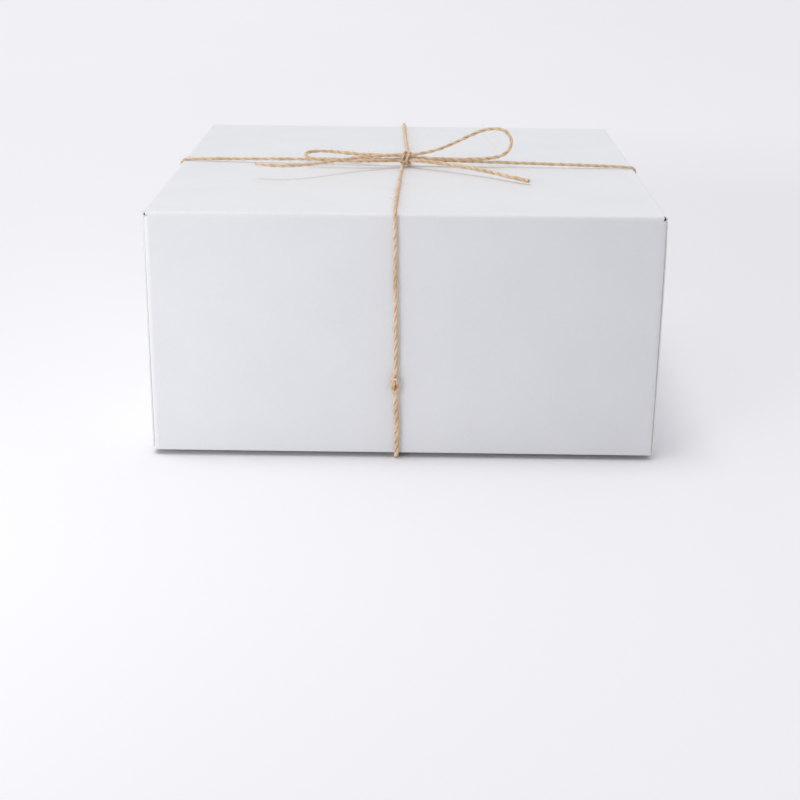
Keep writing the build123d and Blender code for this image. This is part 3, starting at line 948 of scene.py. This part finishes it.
def bow():
    """Two loops and two loose tails."""
    free_cord(
        "right_loop", "bow_loop_right",
        over_lid((2.2, -6.2, 5.2), (10.5, -4.2, 6.2), (19.5, -2.1, 9.2), (27.5, -0.5, 12.9),
                 (34.0, 0.7, 15.5), (39.3, 1.1, 16.3), (44.2, 0.4, 15.4), (46.9, -1.3, 12.0),
                 (46.4, -3.3, 8.0), (42.9, -4.9, 5.2), (37.6, -5.7, 4.0), (30.0, -5.8, 3.5),
                 (21.0, -5.7, 3.4), (12.0, -5.3, 3.6), (2.4, -4.8, 3.6)),
        21, ((0, 0.9), (0.35, 0.95), (0.6, 1.05), (1, 1.05)), "object",
        strays=[over_lid((33.0, 0.4, 14.7), (36.0, -1.2, 11.6), (39.4, -2.6, 8.0), (41.6, -2.4, 9.6),
                         (39.6, -1.6, 12.6), (36.6, -0.6, 13.4), (35.2, 0.2, 14.2))],
    )
    free_cord(
        "left_loop", "bow_loop_left",
        over_lid((-3.6, -4.6, 4.7), (-12.5, -3.6, 4.5), (-21.5, -0.4, 4.2), (-29.0, 4.2, 4.1),
                 (-35.6, 8.0, 3.9), (-40.8, 9.0, 3.8), (-44.8, 6.0, 3.8), (-46.0, 0.7, 3.8),
                 (-44.8, -5.0, 3.6), (-40.6, -8.4, 3.3), (-34.0, -9.6, 3.0), (-26.0, -9.5, 2.9),
                 (-15.5, -9.7, 3.0), (-4.0, -7.5, 3.0)),
        22, 1.0, "object",
    )
    free_cord(
        "left_tail", "bow_tail_left",
        over_lid((-3.4, -7.2, 5.4), (-11.5, -11.0, 5.7), (-20.0, -15.8, 5.8), (-28.5, -21.6, 5.6),
                 (-36.5, -28.2, 5.5), (-44.5, -34.4, 5.7), (-53.0, -37.6, 5.9), (-59.8, -37.2, 6.1),
                 (-64.3, -34.9, 6.4)),
        23, 0.97, "bare",
    )
    free_cord(
        "right_tail", "bow_tail_right",
        over_lid((2.4, -7.6, 3.2), (10.5, -12.6, 3.5), (18.8, -16.8, 3.3), (27.2, -22.6, 3.0),
                 (35.8, -28.7, 2.6), (44.2, -35.9, 2.0), (51.9, -42.2, 1.5)),
        24, 1.15, "bare",
    )


def coil(centre, lean, radii, start, stop, shift):
    """Points on turns of twine round a leaning axis, angles in degrees from the top."""
    points = []
    count = round(abs(stop - start) / 30)
    for k in range(count + 1):
        share = k / count
        angle = radians(start + (stop - start) * share)
        turn = Vector((shift * (share - 0.5), radii[0] * sin(angle), radii[1] * cos(angle)))
        points.append(centre + lean @ turn)
    return points


def knot(name, node, routes, seed, scale, deep):
    """Short tight stretches of twine that make up a knot."""
    draw = np.random.RandomState(seed)
    twines = [Twine(smooth_line(route), seed + k, scale) for k, route in enumerate(routes)]
    piece = twine_mesh(name, [(t, 0, t.count - 1) for t in twines], deep)
    stands_for(piece, "twine_wrap", "jute", node)
    spines = sum((fuzz(draw, t, 0, t.count - 1, *KNOT_FUZZ) for t in twines), [])
    hair_mesh(f"{name}_fibres", "twine_wrap", spines, seed)


def knots():
    """The bow's knot, and the small knot in the front strand."""
    lean = Euler((0, radians(6), radians(-14))).to_matrix()
    middle = over_lid((-0.3, -5.6, 3.75))[0]
    routes = [
        coil(middle, lean, (2.3 * MM, 2.5 * MM), -165, 400, 3.2 * MM),
        over_lid((-4.2, -4.6, 4.8), (-3.0, -4.8, 5.0), (-1.2, -5.6, 4.7), (0.8, -6.0, 4.7), (3.0, -6.3, 5.2)),
        over_lid((-4.4, -7.6, 3.0), (-3.0, -7.7, 3.0), (-1.0, -7.2, 2.9), (1.0, -7.0, 3.0), (3.2, -8.0, 3.3)),
        over_lid((-4.2, -3.9, 2.7), (-2.4, -4.0, 2.8), (-0.4, -3.8, 2.9), (1.2, -3.5, 2.8), (2.8, -3.2, 2.7)),
        over_lid((-2.0, -9.6, 0.95), (-1.8, -8.2, 1.0), (-0.9, -6.6, 1.3), (0.5, -5.0, 1.2),
                 (1.1, -3.2, 0.95)),
        over_lid((-4.2, -7.6, 5.5), (-2.6, -7.4, 5.3), (-0.8, -6.6, 4.4), (0.6, -5.6, 3.6), (2.8, -4.9, 3.6)),
    ]
    knot("bow_knot_turns", "bow_knot", routes, 31, 0.95, (middle, 3.0 * MM))
    x, y, z = -3.05, -101.1, 32.3
    turns = ((0, 0, 5.6), (-0.5, -0.4, 3.9), (-1.25, -0.8, 1.8), (-1.5, -1.1, -0.8), (-0.6, -1.3, -3.3),
             (0.6, -0.9, -2.4), (0.75, -0.6, 0.6), (0.2, -1.3, 2.9), (-0.9, -1.5, 1.9), (-0.6, -0.9, -1.0),
             (0.1, -0.2, -3.4), (0.1, 0, -5.2))
    knot("front_knot_turns", "front_knot", [in_frame(*((x + a, y + b, z + c) for a, b, c in turns))], 41, 1.0,
         ((x * MM, (y - 0.6) * MM, (z - 0.6) * MM), 1.6 * MM))


# ------------------------------ stage
def pale_floor():
    """Seamless paper, with painted shade that darkens it to the right and a painted shadow of the box behind
    its right end.
    """
    m = Nodes("pale_floor")
    place = m.place()
    shade = m.noise(place, 2.2, detail=2)
    split = m.add("SeparateXYZ")
    m.link(place, split.inputs["Vector"])
    # painted shade: darker to the right, away from the light on the left
    across = m.add("MapRange", **{"From Min": -0.35, "From Max": 0.45})
    m.link(split.outputs["X"], across.inputs["Value"])
    colour = m.ramp(across.outputs["Result"], (0.0, (0.915, 0.910, 0.930)), (1.0, (0.860, 0.853, 0.880)))
    colour = m.mix("MULTIPLY", 1.0, colour, m.ramp(shade, (0.3, 0.992), (0.7, 1.0)))
    # painted soft shadow of the box, centred behind its right end
    away = m.add("VectorMath", operation="DISTANCE")
    m.link(place, away.inputs[0])
    away.inputs[1].default_value = (0.2, 0.3, 0)  # metres in the frame
    colour = m.mix("MULTIPLY", 1.0, colour, m.ramp(away.outputs["Value"], (0.12, 0.935), (0.42, 1.0)))
    m.set(IOR=1.4, Specular_IOR_Level=0.1)
    return m.finish(colour, m.ramp(shade, (0.3, 0.85), (0.7, 0.9)), m.bump(shade, 0.0001, 0.1))


def stage():
    """A pale floor that runs on past the view."""
    mesh = bpy.data.meshes.new("floor")
    reach, rings, spokes = 9.0, 12, 48
    points = [(0, 0, 0)]
    for k in range(1, rings + 1):
        ring = arc((0, 0), reach * (k / rings) ** 2, 0, 360, spokes)[:-1]
        points += [(x, y, 0) for x, y in ring]
    faces = [(0, 1 + j, 1 + (j + 1) % spokes) for j in range(spokes)]
    for k in range(rings - 1):
        a, b = 1 + k * spokes, 1 + (k + 1) * spokes
        faces += [(a + j, b + j, b + (j + 1) % spokes, a + (j + 1) % spokes) for j in range(spokes)]
    mesh.from_pydata(points, [], faces)
    floor = new_object("floor", mesh, [pale_floor()])


def area_light(name, place, target, size, power, spread, colour):
    """Square lamp at a place, turned to a target, whose light spreads over so many degrees."""
    data = bpy.data.lights.new(name, "AREA")
    data.size = size
    data.energy = power
    data.spread = radians(spread)
    data.color = colour
    light = new_object(name, data)
    light.location = place
    light.rotation_euler = (Vector(target) - Vector(place)).to_track_quat("-Z", "Y").to_euler()


def sun_light(name, direction, spread, strength):
    """Distant light that comes from a direction, over a round patch so many degrees wide."""
    data = bpy.data.lights.new(name, "SUN")
    data.energy = strength
    data.angle = radians(spread)
    light = new_object(name, data)
    light.rotation_euler = Vector(direction).to_track_quat("Z", "Y").to_euler()


def room():
    """An even pale room whose light darkens behind the camera, though its look doesn't."""
    even, loss, look = 0.83, 0.80, 0.90
    world = bpy.data.worlds.new("room")
    world.use_nodes = True
    tree = world.node_tree
    background = tree.nodes["Background"]
    background.inputs["Color"].default_value = (0.985, 0.98, 1.0, 1)
    split = tree.nodes.new("ShaderNodeSeparateXYZ")
    tree.links.new(tree.nodes.new("ShaderNodeTexCoord").outputs["Generated"], split.inputs["Vector"])
    strength = split.outputs["Y"]
    for operation, value in (("MINIMUM", 0.0), ("POWER", 2.0), ("MULTIPLY", -loss), ("ADD", even)):
        step = tree.nodes.new("ShaderNodeMath")
        step.operation = operation
        tree.links.new(strength, step.inputs[0])
        step.inputs[1].default_value = value
        strength = step.outputs[0]
    seen = tree.nodes.new("ShaderNodeMix")
    tree.links.new(tree.nodes.new("ShaderNodeLightPath").outputs["Is Camera Ray"], seen.inputs["Factor"])
    tree.links.new(strength, seen.inputs["A"])
    seen.inputs["B"].default_value = look
    tree.links.new(seen.outputs["Result"], background.inputs["Strength"])
    bpy.context.scene.world = world


def lights():
    """The room, soft light from above, and a small soft lamp low on the left."""
    room()
    sun_light("overhead", (-0.18, 0.02, 1), 20, 0.80)
    area_light("left_lamp", (-0.38, -0.48, 0.16), (-0.13, -0.1, 0.06), 0.3, 0.19, 65, (1.0, 0.995, 1.0))
    bpy.context.scene.view_settings.view_transform = "Standard"


def camera():
    """The viewing angle: a long lens a little above the box, turned and rolled by half a degree."""
    data = bpy.data.cameras.new("camera")
    data.sensor_width = 36
    data.lens = 63.6
    eye = new_object("camera", data)
    pitch, roll = radians(20.52), radians(0.518)
    yaw = Matrix.Rotation(radians(0.549), 4, "Z")
    eye.location = yaw @ Vector((-0.0021, -0.6350, 0.2254))
    turn = yaw @ Matrix.Rotation(pi / 2 - pitch, 4, "X") @ Matrix.Rotation(roll, 4, "Z")
    eye.rotation_euler = turn.to_euler()
    data.clip_start, data.clip_end = 0.01, 50
    bpy.context.scene.camera = eye


camera()
lights()
stage()
build_tray(BASE, "base_floor_panel")
build_tray(LID, "lid_top_panel")
wrap()
bow()
knots()
